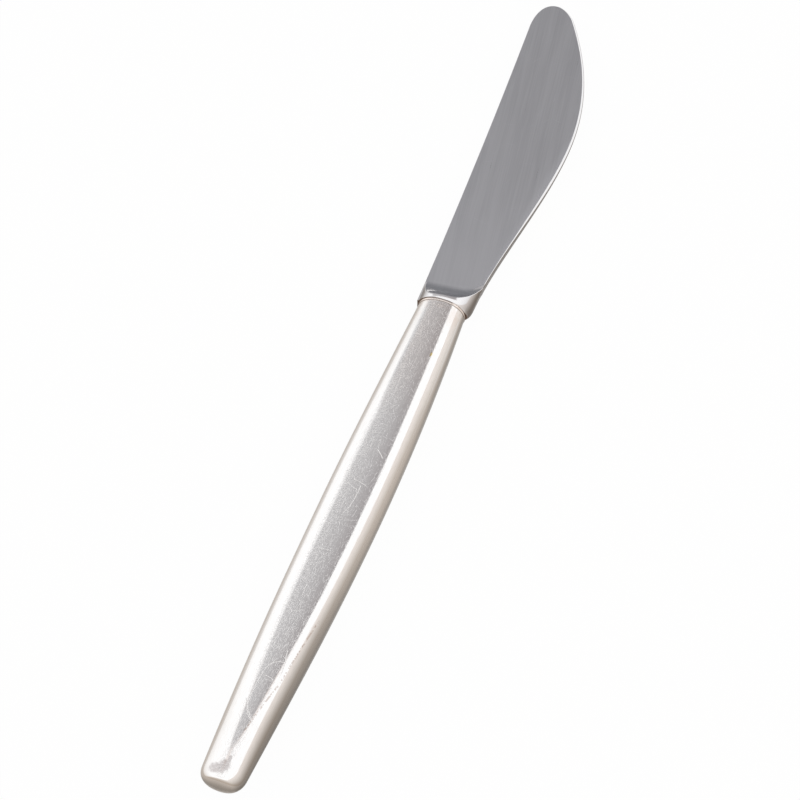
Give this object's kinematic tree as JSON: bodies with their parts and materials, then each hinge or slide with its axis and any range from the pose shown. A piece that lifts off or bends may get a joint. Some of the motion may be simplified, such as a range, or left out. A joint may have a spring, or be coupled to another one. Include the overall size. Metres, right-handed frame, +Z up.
{
  "type": "table knife",
  "caption": "Table knife with a smooth hollow handle that swells to a belly, a short bolster with a ground cove and a flat blade with a rounded tip and a curved blunt edge.",
  "frame": {"origin": "middle of the space the knife covers, on the surface it lies on", "axes": "+X along the knife to the tip, +Y to the spine, +Z up from the surface it lies on; the cutting edge is at -Y"},
  "size_m": [0.2186, 0.0206, 0.0086],
  "materials": {
    "steel": "satin",
    "silver": "polished",
    "cement": "matte"
  },
  "bodies": {
    "root": {"blade": "steel", "handle_front_shell": "silver", "handle_back_shell": "silver", "mouth_cap": "silver", "handle_filling": "cement"}
  },
  "joints": []
}
